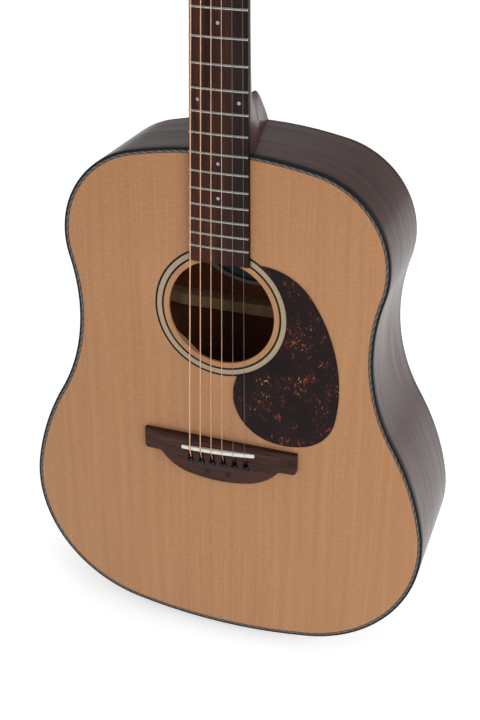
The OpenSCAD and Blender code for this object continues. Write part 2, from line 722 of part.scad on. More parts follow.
module tuner_key(i) color("silver") at_tuner(i) translate([0, worm_y, -worm_drop]) {
    rotate([0, 90, 0]) {
        translate([0, 0, shell_x[0] - post_x + 0.3]) cylinder(r = shaft_r, h = 30);
        translate([0, 0, -5.4]) cylinder(r = worm_r, h = 10.8);
        translate([0, 0, 14.5]) cylinder(r = 3.4, h = 6);
    }
    translate([knob_x[0] + knob_r, 0, 0]) rotate([-90, 0, 0]) rotate_extrude()
        polygon([[0, -3], [knob_r - 1.6, -3], [knob_r, -1.4], [knob_r, 1.4], [knob_r - 1.6, 3], [0, 3]]);
}

// ---- strap pin ----
strap_y = (depth_neck + depth_tail) / 4 + 6;
strap_head_r = 6.5;
module strap_hole() translate([0, strap_y, tail_z - 5]) cylinder(r = 4.02, h = 5 + 22);
module strap_pin() color([0.08, 0.08, 0.08]) translate([0, strap_y, tail_z]) rotate([180, 0, 0])
    rotate_extrude() polygon([[0, -20], [3.6, -20], [4, -18], [4, 0.6], [5.6, 0.6], [5.6, 1.8],
             [4.4, 3.4], [4.4, 8], [strap_head_r, 9.6], [strap_head_r, 13.6], [5.4, 15], [0, 15.6]]);

rib(-1);  // rib_bass
rib(1);  // rib_treble
soundboard();
back_plate();
neck_block();
tail_block();
top_lining();
back_lining();
top_binding();
top_purfling();
back_binding();
rosette();
pickguard();
bridge();
saddle();
bridge_plate();
x_brace();
top_braces();
back_braces();
label();
tail_strip();
strap_pin();
bridge_bolts();
bridge_dots();
neck();
heel_cap();
headplate();
fingerboard();
frets();
inlay_dots();
nut();
truss_rod();
tuner_housings();
tuner_bushings();
tuner_screws();
string(1);  // string_1
string(2);  // string_2
string(3);  // string_3
string(4);  // string_4
string(5);  // string_5
string(6);  // string_6
tuner_key(1);  // tuner_key_1
tuner_key(2);  // tuner_key_2
tuner_key(3);  // tuner_key_3
tuner_key(4);  // tuner_key_4
tuner_key(5);  // tuner_key_5
tuner_key(6);  // tuner_key_6
tuner_post(1);  // tuner_post_1
tuner_post(2);  // tuner_post_2
tuner_post(3);  // tuner_post_3
tuner_post(4);  // tuner_post_4
tuner_post(5);  // tuner_post_5
tuner_post(6);  // tuner_post_6
bridge_pin(1);  // bridge_pin_1
bridge_pin(2);  // bridge_pin_2
bridge_pin(3);  // bridge_pin_3
bridge_pin(4);  // bridge_pin_4
bridge_pin(5);  // bridge_pin_5
bridge_pin(6);  // bridge_pin_6
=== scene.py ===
"""Acoustic guitar: the looks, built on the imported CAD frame. Units are metres."""

from math import asin, atan, cos, hypot, pi, radians, sin, tan

import bmesh
import bpy
from mathutils import Matrix, Vector


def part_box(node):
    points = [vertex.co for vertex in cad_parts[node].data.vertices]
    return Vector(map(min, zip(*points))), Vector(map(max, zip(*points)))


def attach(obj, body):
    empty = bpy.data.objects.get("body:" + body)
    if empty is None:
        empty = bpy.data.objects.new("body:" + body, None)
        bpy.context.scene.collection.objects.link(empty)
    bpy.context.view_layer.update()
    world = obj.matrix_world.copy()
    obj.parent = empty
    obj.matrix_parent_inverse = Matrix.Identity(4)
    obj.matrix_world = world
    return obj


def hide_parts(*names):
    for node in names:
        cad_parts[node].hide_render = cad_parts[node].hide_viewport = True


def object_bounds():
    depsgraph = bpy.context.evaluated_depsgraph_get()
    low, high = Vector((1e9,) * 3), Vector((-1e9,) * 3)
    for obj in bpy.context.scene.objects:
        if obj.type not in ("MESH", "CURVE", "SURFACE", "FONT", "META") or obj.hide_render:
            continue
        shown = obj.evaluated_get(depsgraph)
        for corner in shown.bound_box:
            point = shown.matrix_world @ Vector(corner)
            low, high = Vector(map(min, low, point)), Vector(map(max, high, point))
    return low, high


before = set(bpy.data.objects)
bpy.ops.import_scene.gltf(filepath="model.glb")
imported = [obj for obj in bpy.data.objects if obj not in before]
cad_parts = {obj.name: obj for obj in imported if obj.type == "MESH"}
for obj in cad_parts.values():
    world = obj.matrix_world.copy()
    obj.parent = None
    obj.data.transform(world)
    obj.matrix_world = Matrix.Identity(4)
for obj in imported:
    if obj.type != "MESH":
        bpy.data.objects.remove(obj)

CAD_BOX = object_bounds()
MM = 0.001

# ---- driving sizes of the guitar, in metres, as in its CAD source ----
SCALE = 0.644
NUT_WIDTH = 0.0425
BOARD_END_WIDTH = 0.055
BOARD_RADIUS = 0.305
NECK_DEPTH = 0.0145
DEPTH_NECK = 0.1012
DEPTH_TAIL = 0.1279
TOP_THICK = 0.0028
BACK_THICK = 0.003
RIB_THICK = 0.0022
HOLE_Z = -0.5055
HOLE_RADIUS = 0.050
BINDING_W = 0.0019
BINDING_H = 0.0055
TRIM_W = 0.0043
# arcs of the outline from the tail to the shoulder: radius, sweep in degrees
BODY_ARCS = [(0.498, 10.7), (0.131, 89.3), (0.262, 20.2), (-0.182, 46.2), (0.086, 93.2)]


def fret_at(n):
    return SCALE * (1 - 2 ** (-n / 12))


TOP_Z = -fret_at(14) + 0.002


def board_half(z):
    """Half the width of the fingerboard at height z."""
    return (NUT_WIDTH + (BOARD_END_WIDTH - NUT_WIDTH) * -z / fret_at(20)) / 2


# ---- outlines made of tangent arcs ----
def arc_chain(arcs, start, inset=0.0, step=2.0):
    """Points along tangent arcs of (radius, sweep); start is (x, z, heading in degrees)."""
    x, z, heading = start
    points = []
    for radius, sweep in arcs:
        r = radius - inset
        turn = sweep if radius > 0 else -sweep
        count = max(1, round(abs(sweep) / step))
        h0 = radians(heading)
        for k in range(count):
            h = h0 + radians(turn) * k / count
            points.append((x + r * (sin(h) - sin(h0)), z + r * (cos(h0) - cos(h))))
        h1 = h0 + radians(turn)
        x, z = x + r * (sin(h1) - sin(h0)), z + r * (cos(h0) - cos(h1))
        heading += turn
    points.append((x, z))
    return points, (x, z, heading)


def full_arcs():
    """The body's arcs with the shoulder arc that closes them on the centre line."""
    _, (x, z, heading) = arc_chain(BODY_ARCS, (0, 0, 0))
    radius = x / sin(radians(heading))
    length = z + radius * (1 + cos(radians(heading)))
    return BODY_ARCS + [(radius, 180 - heading)], length


BODY, BODY_LENGTH = full_arcs()
TAIL_Z = TOP_Z - BODY_LENGTH
BACK_SLOPE = (DEPTH_TAIL - DEPTH_NECK) / BODY_LENGTH


def back_y(z):
    """Depth of the outer face of the back at height z."""
    return DEPTH_NECK + (TOP_Z - z) * BACK_SLOPE


def half_outline(inset, step=2.0):
    points, _ = arc_chain(BODY, (0, inset, 0), inset, step)
    points[-1] = (0.0, points[-1][1])
    return [(x, z + TAIL_Z) for x, z in points]


def body_outline(inset, step=2.0):
    half = half_outline(inset, step)
    return half + [(-x, z) for x, z in half[-2:0:-1]]


def circle(cx, cz, radius, count=128):
    turns = [2 * pi * k / count for k in range(count)]
    return [(cx + radius * cos(a), cz + radius * sin(a)) for a in turns]


# ---- mesh helpers ----
def new_object(name, mesh, sharp=radians(32)):
    obj = bpy.data.objects.new(name, mesh)
    bpy.context.scene.collection.objects.link(obj)
    for face in mesh.polygons:
        face.use_smooth = True
    mesh.set_sharp_from_angle(angle=sharp)
    return obj


def finish_piece(obj, material, body, nodes=()):
    obj.data.materials.clear()
    obj.data.materials.append(material)
    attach(obj, body)
    if nodes:
        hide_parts(*nodes)
    return obj


def plate(name, loops, y0, y1, bevel=0.0, bevel_steps=3):
    """A plate between depths y0 and y1; the first loop is its outline in x and z, the others are holes."""
    curve = bpy.data.curves.new(name, "CURVE")
    curve.dimensions = "2D"
    curve.fill_mode = "BOTH"
    curve.extrude = (y1 - y0) / 2 - bevel
    curve.bevel_depth = bevel
    curve.bevel_resolution = bevel_steps
    curve.offset = -bevel
    for loop in loops:
        spline = curve.splines.new("POLY")
        spline.points.add(len(loop) - 1)
        for point, (x, z) in zip(spline.points, loop):
            point.co = (x, z, 0, 1)
        spline.use_cyclic_u = True
    temp = bpy.data.objects.new(name + "_curve", curve)
    mesh = bpy.data.meshes.new_from_object(temp)
    bpy.data.objects.remove(temp)
    bpy.data.curves.remove(curve)
    # curve x, y -> row x, z; curve depth -> row y
    mesh.transform(Matrix(((1, 0, 0, 0), (0, 0, -1, (y0 + y1) / 2), (0, 1, 0, 0), (0, 0, 0, 1))))
    weld(mesh)
    mesh.name = name
    return mesh


def weld(mesh, distance=1e-6):
    bm = bmesh.new()
    bm.from_mesh(mesh)
    bmesh.ops.remove_doubles(bm, verts=bm.verts, dist=distance)
    bmesh.ops.recalc_face_normals(bm, faces=bm.faces)
    bm.to_mesh(mesh)
    bm.free()


def grid_mesh(name, rows, closed_rows=False, closed_ends=False, caps=False):
    """A mesh through rows of points.

    closed_rows joins the last row to the first, closed_ends each row's ends, and caps closes the end rows."""
    bm = bmesh.new()
    uv = bm.loops.layers.uv.new("UVMap")
    verts = [[bm.verts.new(p) for p in row] for row in rows]
    n, m = len(rows), len(rows[0])
    along = [0.0]
    for a, b in zip(rows, rows[1:] + rows[:1]):
        along.append(along[-1] + (Vector(b[0]) - Vector(a[0])).length)
    across = [0.0]
    for a, b in zip(rows[0], rows[0][1:] + rows[0][:1]):
        across.append(across[-1] + (Vector(b) - Vector(a)).length)
    for i in range(n if closed_rows else n - 1):
        for j in range(m if closed_ends else m - 1):
            quad = [(i, j), (i + 1, j), (i + 1, j + 1), (i, j + 1)]
            face = bm.faces.new([verts[a % n][b % m] for a, b in quad])
            for loop, (a, b) in zip(face.loops, quad):
                loop[uv].uv = (along[a], across[b])
    if caps:
        bm.faces.new(verts[0][::-1])
        bm.faces.new(verts[-1])
    bmesh.ops.recalc_face_normals(bm, faces=bm.faces)
    mesh = bpy.data.meshes.new(name)
    bm.to_mesh(mesh)
    bm.free()
    return mesh


def tube(name, path, radius, sides=12, caps=True):
    """A round tube along path; its UVs run in metres along it."""
    rows = []
    count = len(path)
    points = [Vector(p) for p in path]
    for k, point in enumerate(points):
        tangent = (points[min(k + 1, count - 1)] - points[max(k - 1, 0)]).normalized()
        u = (Vector((1, 0, 0)) - tangent * tangent.x).normalized()
        v = tangent.cross(u)
        rows.append([point + radius * (cos(2 * pi * j / sides) * u + sin(2 * pi * j / sides) * v)
                     for j in range(sides)])
    return grid_mesh(name, rows, closed_ends=True, caps=caps)


def spline4(a, b, c, d, t):
    """Catmull-Rom value between b and c."""
    square = 2 * a - 5 * b + 4 * c - d
    cube = 3 * b - a - 3 * c + d
    return 0.5 * (2 * b + (c - a) * t + square * t * t + cube * t ** 3)


def refine(rows, steps):
    """Rows of numbers, refined to steps per interval by a spline through them."""
    last = len(rows) - 1
    result = []
    for i in range(last):
        a, b, c, d = (rows[max(0, min(last, i + k))] for k in (-1, 0, 1, 2))
        for k in range(steps):
            result.append([spline4(p, q, r, s, k / steps) for p, q, r, s in zip(a, b, c, d)])
    return result + [list(rows[last])]


# ---- materials ----
class Shader:
    """A material under construction, with short names for the nodes it uses."""

    def __init__(self, name, **sockets):
        self.material = bpy.data.materials.new(name)
        self.material.use_nodes = True
        self.tree = self.material.node_tree
        self.bsdf = self.tree.nodes["Principled BSDF"]
        for key, value in sockets.items():
            self.put(self.bsdf.inputs[key.replace("_", " ")], value)

    def put(self, socket, value):
        if isinstance(value, bpy.types.NodeSocket):
            self.tree.links.new(value, socket)
        else:
            socket.default_value = value

    def node(self, kind, inputs, **props):
        node = self.tree.nodes.new("ShaderNode" + kind)
        for key, value in props.items():
            setattr(node, key, value)
        for key, value in inputs.items():
            self.put(node.inputs[key], value)
        return node

    def coords(self, kind="Object"):
        return self.node("TexCoord", {}).outputs[kind]

    def stretch(self, vector, scale, rotation=(0, 0, 0)):
        return self.node("Mapping", {"Vector": vector, "Scale": scale, "Rotation": rotation}).outputs[0]

    def split(self, vector):
        return self.node("SeparateXYZ", {"Vector": vector}).outputs

    def join(self, x, y, z):
        return self.node("CombineXYZ", {"X": x, "Y": y, "Z": z}).outputs[0]

    def noise(self, vector, scale, detail=3.0, roughness=0.5, distortion=0.0):
        sockets = {"Vector": vector, "Scale": scale, "Detail": detail, "Roughness": roughness,
                   "Distortion": distortion}
        return self.node("TexNoise", sockets).outputs["Fac"]

    def ramp(self, fac, stops, interpolation="LINEAR"):
        node = self.node("ValToRGB", {"Fac": fac})
        ramp = node.color_ramp
        ramp.interpolation = interpolation
        while len(ramp.elements) < len(stops):
            ramp.elements.new(1.0)
        for element, (place, colour) in zip(ramp.elements, stops):
            element.position = place
            element.color = colour if len(colour) == 4 else (*colour, 1)
        return node.outputs["Color"]

    def math(self, operation, a, b=0.0):
        node = self.tree.nodes.new("ShaderNodeMath")
        node.operation = operation
        self.put(node.inputs[0], a)
        self.put(node.inputs[1], b)
        return node.outputs[0]

    def scale_to(self, fac, low, high, out_low=0.0, out_high=1.0):
        sockets = {"Value": fac, "From Min": low, "From Max": high, "To Min": out_low, "To Max": out_high}
        return self.node("MapRange", sockets).outputs[0]

    def mix(self, fac, a, b, blend="MIX"):
        node = self.tree.nodes.new("ShaderNodeMix")
        node.data_type = "RGBA"
        node.blend_type = blend
        self.put(node.inputs[0], fac)
        self.put(node.inputs[6], a)
        self.put(node.inputs[7], b)
        return node.outputs[2]

    def bump(self, height, distance, strength=1.0, normal=None):
        sockets = {"Height": height, "Distance": distance, "Strength": strength}
        if normal is not None:
            sockets["Normal"] = normal
        return self.node("Bump", sockets).outputs["Normal"]

    def finish(self, colour=None, roughness=None, normal=None):
        for key, value in (("Base Color", colour), ("Roughness", roughness), ("Normal", normal)):
            if value is not None:
                self.put(self.bsdf.inputs[key], value)
        return self.material


def rgb(r, g, b):
    """A linear colour from sRGB numbers of 0 to 255."""
    def linear(c):
        c /= 255
        return c / 12.92 if c <= 0.04045 else ((c + 0.055) / 1.055) ** 2.4
    return (linear(r), linear(g), linear(b), 1.0)


def spruce_material(name, light, dark, mirrored=True):
    """Straight-grained softwood, its two halves matched about the centre line."""
    s = Shader(name, IOR=1.5, Specular_IOR_Level=0.25, Coat_Weight=0.05, Coat_Roughness=0.3)
    x, y, z = s.split(s.coords())
    wander = s.scale_to(s.noise(s.join(0.0, 0.0, z), 5.0, 2.0), 0.0, 1.0, -0.004, 0.004)
    across = s.math("ADD", s.math("ABSOLUTE", x) if mirrored else x, wander)
    lines = s.noise(s.join(across, 0.0, s.math("MULTIPLY", z, 0.006)), 900.0, 2.0, 0.6)
    streaks = s.noise(s.join(across, 0.3, s.math("MULTIPLY", z, 0.02)), 130.0, 3.0, 0.6)
    broad = s.noise(s.join(across, 0.7, s.math("MULTIPLY", z, 0.12)), 16.0, 2.0)
    silk = s.noise(s.join(s.math("MULTIPLY", across, 0.3), 0.0, z), 480.0, 4.0, 0.65)
    grain = s.math("ADD", s.math("MULTIPLY", lines, 0.45), s.math("MULTIPLY", streaks, 0.55))
    tone = s.mix(s.scale_to(grain, 0.30, 0.70), dark, light)
    tone = s.mix(s.scale_to(broad, 0.3, 0.7, 0.0, 0.25), tone, dark)
    tone = s.mix(s.scale_to(silk, 0.45, 0.7, 0.0, 0.24), tone, (1.0, 0.93, 0.82, 1.0), "SOFT_LIGHT")
    rough = s.scale_to(lines, 0.3, 0.7, 0.46, 0.36)
    relief = s.math("ADD", lines, s.math("MULTIPLY", silk, 0.4))
    return s.finish(tone, rough, s.bump(relief, 0.00005, 0.5))


def grained_material(name, light, dark, pore, along="z", coat=0.0, rough=(0.3, 0.45), shine=0.25, zones=()):
    """A dark hardwood with long streaks and open pores; along names the grain's direction.

    zones lists (mask, colour) pairs; mask is a function of the shader that marks where that colour lies."""
    s = Shader(name, IOR=1.5, Specular_IOR_Level=shine, Coat_Weight=coat, Coat_Roughness=0.12)
    if along == "uv":
        u, v, _ = s.split(s.coords("UV"))
        long_way, wide, deep = u, v, 0.0
    else:
        x, y, z = s.split(s.coords())
        long_way, wide, deep = {"z": (z, x, y), "x": (x, z, y)}[along]
    slow = s.math("MULTIPLY", long_way, 0.05)
    slower = s.math("MULTIPLY", long_way, 0.02)
    streaks = s.noise(s.join(wide, deep, slow), 150.0, 4.0, 0.62, 0.4)
    ribbon = s.noise(s.join(wide, deep, slower), 38.0, 3.0, 0.55, 0.3)
    fine = s.noise(s.join(wide, deep, slower), 1100.0, 2.0, 0.6)
    pores = s.noise(s.join(wide, deep, s.math("MULTIPLY", long_way, 0.035)), 1700.0, 1.0, 0.5)
    open_pores = s.scale_to(pores, 0.62, 0.7)
    tone = s.mix(s.scale_to(streaks, 0.34, 0.68), dark, light)
    tone = s.mix(s.scale_to(ribbon, 0.35, 0.7, 0.0, 0.6), tone, dark)
    tone = s.mix(s.scale_to(fine, 0.4, 0.75, 0.0, 0.35), tone, light)
    tone = s.mix(s.math("MULTIPLY", open_pores, 0.7), tone, pore)
    for mask, colour in zones:
        tone = s.mix(mask(s), tone, colour)
    roughness = s.scale_to(streaks, 0.3, 0.7, rough[1], rough[0])
    relief = s.math("SUBTRACT", s.math("MULTIPLY", fine, 0.3), open_pores)
    return s.finish(tone, roughness, s.bump(relief, 0.00006, 0.6))


def plastic_material(name, colour, speck, rough=0.25, shine=0.4):
    """A moulded or sawn plastic or horn with faint mottling and fine scratches."""
    s = Shader(name, IOR=1.5, Specular_IOR_Level=shine)
    place = s.coords()
    mottle = s.noise(place, 420.0, 3.0, 0.6)
    scratch = s.noise(s.stretch(place, (1.0, 1.0, 0.05), (0.4, 0.3, 0.7)), 2400.0, 2.0, 0.5)
    tone = s.mix(s.scale_to(mottle, 0.35, 0.75), colour, speck)
    roughness = s.scale_to(scratch, 0.3, 0.75, rough * 0.8, rough * 1.5)
    return s.finish(tone, roughness, s.bump(s.math("ADD", mottle, scratch), 0.00001, 0.4))


def metal_material(name, colour, shade, rough=0.2, brush=(1.0, 1.0, 0.04)):
    """A drawn or plated metal with slight brushing and tarnish."""
    s = Shader(name, Metallic=1.0)
    place = s.coords()
    brushed = s.noise(s.stretch(place, brush), 2600.0, 2.0, 0.6)
    tarnish = s.noise(place, 150.0, 4.0, 0.6)
    tone = s.mix(s.scale_to(tarnish, 0.45, 0.75, 0.0, 0.7), colour, shade)
    roughness = s.scale_to(s.math("ADD", brushed, tarnish), 0.7, 1.4, rough * 0.7, rough * 1.6)
    return s.finish(tone, roughness, s.bump(brushed, 0.000006, 0.5))


def wound_material(name, colour, groove, pitch):
    """Wire wrapped round a string: fine turns along its length."""
    s = Shader(name, Metallic=0.9)
    u, v, _ = s.split(s.coords("UV"))
    turns = s.math("SINE", s.math("MULTIPLY", u, 2 * pi / pitch))
    tarnish = s.noise(s.join(u, v, 0.0), 90.0, 4.0, 0.6)
    tone = s.mix(s.scale_to(turns, -1.0, 0.2), groove, colour)
    tone = s.mix(s.scale_to(tarnish, 0.5, 0.8, 0.0, 0.5), tone, groove)
    return s.finish(tone, s.scale_to(tarnish, 0.3, 0.7, 0.3, 0.45), s.bump(turns, 0.00006, 0.8))


def rope_material(name):
    """Two-tone twisted marquetry: slanting slips of pale and black wood."""
    s = Shader(name, Coat_Weight=0.1, Coat_Roughness=0.3)
    u, v, _ = s.split(s.coords("UV"))
    slant = s.math("ADD", s.math("MULTIPLY", u, 1 / 0.0075), s.math("MULTIPLY", v, 1 / 0.0019))
    phase = s.math("FRACT", slant)
    off, on = (0, 0, 0), (1, 1, 1)
    pale = s.ramp(phase, [(0.0, off), (0.40, off), (0.52, on), (0.88, on), (1.0, off)])
    lines = s.ramp(s.math("DIVIDE", v, TRIM_W - BINDING_W),
                   [(0.0, off), (0.18, off), (0.26, on), (0.76, on), (0.84, off)])
    mottle = s.noise(s.join(u, v, 0.0), 900.0, 3.0, 0.6)
    slip = s.mix(s.scale_to(mottle, 0.3, 0.7), rgb(98, 87, 78), rgb(130, 117, 104))
    tone = s.mix(s.math("MULTIPLY", pale, lines), rgb(26, 24, 25), slip)
    return s.finish(tone, s.scale_to(mottle, 0.3, 0.7, 0.35, 0.5), s.bump(mottle, 0.00003, 0.4))


def tortoise_material(name):
    """Polished near-black plastic with a few small red, orange and amber flecks."""
    s = Shader(name, Roughness=0.16, IOR=1.5, Specular_IOR_Level=0.1)
    place = s.coords()
    flat = s.stretch(place, (1.0, 0.0, 1.0))
    clouds = s.noise(flat, 34.0, 3.0, 0.6)
    red_noise = s.noise(s.stretch(flat, (1.0, 1.0, 0.55), (0.0, 0.7, 0.0)), 170.0, 4.0, 0.62, 2.2)
    amber_noise = s.noise(s.stretch(flat, (1.0, 1.0, 0.5), (0.0, -0.8, 0.0)), 200.0, 4.0, 0.62, 2.6)
    patch = s.scale_to(clouds, 0.46, 0.56)
    red = s.math("MULTIPLY", s.scale_to(red_noise, 0.605, 0.655, 0.0, 0.85), patch)
    amber = s.math("MULTIPLY", s.scale_to(amber_noise, 0.65, 0.69), patch)
    tone = s.mix(s.scale_to(clouds, 0.35, 0.7), rgb(22, 12, 13), rgb(36, 19, 19))
    tone = s.mix(red, tone, rgb(150, 56, 48))
    tone = s.mix(amber, tone, rgb(220, 150, 84))
    return s.finish(tone, s.scale_to(clouds, 0.3, 0.7, 0.12, 0.2), s.bump(clouds, 0.00002, 0.2))


def label_material(name, centre, radii):
    """An oval paper label: pale margin, dark ruled line and slate-blue field, with no lettering."""
    s = Shader(name, Roughness=0.75)
    x, y, z = s.split(s.coords())
    ex = s.math("DIVIDE", s.math("SUBTRACT", x, centre[0]), radii[0])
    ez = s.math("DIVIDE", s.math("SUBTRACT", z, centre[1]), radii[1])
    reach = s.math("SQRT", s.math("ADD", s.math("MULTIPLY", ex, ex), s.math("MULTIPLY", ez, ez)))
    margin, ruled, field = rgb(150, 146, 138), rgb(30, 30, 34), rgb(74, 84, 100)
    tone = s.ramp(reach, [(0.0, field[:3]), (0.83, field[:3]), (0.84, ruled[:3]), (0.90, ruled[:3]),
                          (0.91, margin[:3]), (1.0, margin[:3])])
    fibre = s.noise(s.coords(), 1500.0, 4.0, 0.7)
    stain = s.noise(s.coords(), 40.0, 3.0, 0.5)
    tone = s.mix(s.scale_to(stain, 0.4, 0.8, 0.0, 0.35), tone, rgb(120, 104, 78), "MULTIPLY")
    return s.finish(tone, None, s.bump(fibre, 0.00003, 0.5))


def board_edge(s):
    """1 on the fingerboard's sides and the last half millimetre of its face, 0 elsewhere."""
    x, y, z = s.split(s.coords())
    taper = (BOARD_END_WIDTH - NUT_WIDTH) / 2 / fret_at(20)
    half = s.math("SUBTRACT", NUT_WIDTH / 2, s.math("MULTIPLY", z, taper))
    return s.scale_to(s.math("SUBTRACT", s.math("ABSOLUTE", x), half), -0.0006, -0.0002)


def dark_side(s):
    """Darker along the treble side of the fingerboard, with a wandering border."""
    x, y, z = s.split(s.coords())
    wander = s.noise(s.join(0.0, 0.0, z), 9.0, 3.0)
    return s.scale_to(s.math("ADD", x, s.math("MULTIPLY", wander, 0.008)), 0.010, 0.019, 0.0, 0.7)


def inside_back(s):
    """1 on the back's inner face, with blotches of lighter bare wood, 0 on its outer face."""
    x, y, z = s.split(s.coords())
    depth = s.math("SUBTRACT", back_y(0.0), s.math("ADD", y, s.math("MULTIPLY", z, BACK_SLOPE)))
    bare = s.scale_to(s.noise(s.coords(), 14.0, 3.0), 0.3, 0.7, 0.75, 0.95)
    return s.math("MULTIPLY", s.scale_to(depth, 0.001, 0.0015), bare)


SPRUCE = spruce_material("spruce_top", rgb(178, 131, 91), rgb(159, 111, 73))
BRACE_SPRUCE = spruce_material("brace_spruce", rgb(196, 168, 128), rgb(160, 124, 84), mirrored=False)
SIDE_WOOD = grained_material("rib_mahogany", rgb(74, 34, 28), rgb(40, 18, 14), rgb(15, 8, 7), "uv", 0.24,
                             shine=0.16)
BACK_WOOD = grained_material("back_mahogany", rgb(78, 40, 31), rgb(46, 23, 18), rgb(16, 9, 8), "z", 0.35,
                             shine=0.2, zones=[(inside_back, rgb(122, 74, 50))])
NECK_WOOD = grained_material("neck_mahogany", rgb(78, 42, 34), rgb(48, 25, 20), rgb(20, 11, 9), "z", 0.1)
INNER_WOOD = grained_material("inner_mahogany", rgb(150, 100, 66), rgb(110, 68, 42), rgb(60, 36, 24), "z")
SATIN = (0.42, 0.58)
ROSEWOOD = grained_material("rosewood", rgb(88, 56, 46), rgb(46, 30, 27), rgb(16, 12, 12), "z", rough=SATIN,
                            shine=0.12)
BOARD_WOOD = grained_material("board_rosewood", rgb(84, 47, 32), rgb(34, 21, 18), rgb(13, 10, 10), "z",
                              rough=SATIN, shine=0.12,
                              zones=[(dark_side, rgb(24, 17, 16)), (board_edge, rgb(13, 10, 10))])
BRIDGE_WOOD = grained_material("bridge_rosewood", rgb(76, 46, 38), rgb(40, 26, 23), rgb(18, 12, 12), "x",
                               rough=SATIN, shine=0.12)
BLACK = plastic_material("black_plastic", rgb(12, 12, 13), rgb(24, 22, 23), 0.22, 0.3)
EBONY = plastic_material("ebony_dot", rgb(26, 23, 21), rgb(38, 34, 30), 0.5, 0.15)
BINDING = plastic_material("black_binding", rgb(16, 15, 15), rgb(28, 26, 25), 0.3, 0.12)
CREAM = plastic_material("cream_inlay", rgb(168, 148, 122), rgb(150, 130, 104), 0.4)
BONE = plastic_material("bone", rgb(222, 221, 214), rgb(208, 203, 190), 0.3)
PEARL = plastic_material("pearl_dot", rgb(168, 168, 164), rgb(134, 140, 146), 0.2)
FRET_WIRE = metal_material("fret_wire", rgb(182, 182, 180), rgb(140, 138, 134), 0.24, (0.04, 1.0, 1.0))
CHROME = metal_material("chrome", rgb(214, 214, 216), rgb(190, 190, 194), 0.1)
STEEL = metal_material("plain_steel", rgb(128, 126, 126), rgb(84, 82, 82), 0.3)
BRONZE = wound_material("bronze_wound", rgb(240, 200, 172), rgb(190, 140, 108), 0.0005)
ROPE = rope_material("rope_purfling")
TORTOISE = tortoise_material("tortoise_plastic")


# ---- body ----
def outline_rows(profile, back=False, part=None, step=2.0):
    """Rows round the body through profile's (inset, depth) pairs, the depth from the top or the back."""
    loops = [body_outline(inset, step) for inset, _ in profile]
    count = len(loops[0])
    rows = []
    for i in (range(count) if part is None else part):
        row = []
        for loop, (_, depth) in zip(loops, profile):
            x, z = loop[i % count]
            row.append((x, back_y(z) - depth if back else depth, z))
        rows.append(row)
    return rows


def trim_ring(name, profile, back=False):
    rows = outline_rows(profile, back)
    return new_object(name, grid_mesh(name, rows, closed_rows=True, closed_ends=True))


def make_ribs():
    """Both bent sides, each from the tail to the neck, with the back edge following the back's slope."""
    half = len(half_outline(0.0)) - 1
    count = len(body_outline(0.0))
    depths = 6
    tuck = 0.0002
    for name, node, part in (("rib_side_treble", "rib_treble", range(0, half + 1)),
                             ("rib_side_bass", "rib_bass", range(half, count + 1))):
        rows = []
        outer, inner = body_outline(0.0), body_outline(RIB_THICK)
        for i in part:
            row = []
            for loop, order in ((outer, 1), (inner, -1)):
                x, z = loop[i % count]
                front, rear = BINDING_H - tuck, back_y(z) - BINDING_H + tuck
                levels = [front + (rear - front) * k / depths for k in range(depths + 1)][::order]
                row += [(x, y, z) for y in levels]
            rows.append(row)
        obj = new_object(name, grid_mesh(name, rows, closed_ends=True, caps=True))
        finish_piece(obj, SIDE_WOOD, "guitar", [node])


def make_tail_strip():
    """A curved strip let in over the ribs' joint at the tail; it stands proud of them by a hair."""
    width, _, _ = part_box("tail_strip")[1]
    radius = BODY_ARCS[0][0]
    arc = asin(width / radius)
    proud, overlap = 0.0001, 0.0004
    rows = []
    steps = 6
    for k in range(-steps, steps + 1):
        a = arc * k / steps
        row = []
        for r, out, order in ((radius, proud, 1), (radius - RIB_THICK - overlap, 0.0, -1)):
            z = TAIL_Z + radius - r * cos(a) - out
            row += [(r * sin(a), y, z) for y in [BINDING_H, back_y(z) - BINDING_H][::order]]
        rows.append(row)
    obj = new_object("tail_graft", grid_mesh("tail_graft", rows, closed_ends=True, caps=True))
    finish_piece(obj, BINDING, "guitar", ["tail_strip"])


def binding_profile():
    """Section of a binding as (inset, depth) pairs, with its outer edge eased."""
    e = 0.0006
    return [(0.0, BINDING_H), (0.0, 1.6 * e), (0.3 * e, 0.5 * e), (1.1 * e, 0.0), (BINDING_W, 0.0),
            (BINDING_W, BINDING_H)]


def make_top():
    hole = circle(0, HOLE_Z, HOLE_RADIUS)
    edge = 0.0004
    top = new_object("top_board", plate("top_board", [body_outline(TRIM_W), hole], 0.0, TOP_THICK, edge))
    finish_piece(top, SPRUCE, "guitar", ["soundboard"])
    ring = trim_ring("top_edge_binding", binding_profile())
    finish_piece(ring, BINDING, "guitar", ["top_binding"])
    rope = trim_ring("top_rope_purfling", [(BINDING_W, 0.0), (TRIM_W, 0.0), (TRIM_W, TOP_THICK / 2),
                                           (BINDING_W, TOP_THICK / 2)])
    finish_piece(rope, ROPE, "guitar", ["top_purfling"])


def make_back():
    mesh = plate("back_board", [body_outline(BINDING_W)], 0.0, BACK_THICK, 0.0002)
    for vert in mesh.vertices:
        vert.co.y += back_y(vert.co.z) - BACK_THICK
    obj = new_object("back_board", mesh)
    finish_piece(obj, BACK_WOOD, "guitar", ["back_plate"])
    ring = trim_ring("back_edge_binding", binding_profile(), back=True)
    finish_piece(ring, BINDING, "guitar", ["back_binding"])


ROSETTE_RADII = [0.0550, 0.0569, 0.0614, 0.0633]
ROSETTE_DEPTH = 0.001


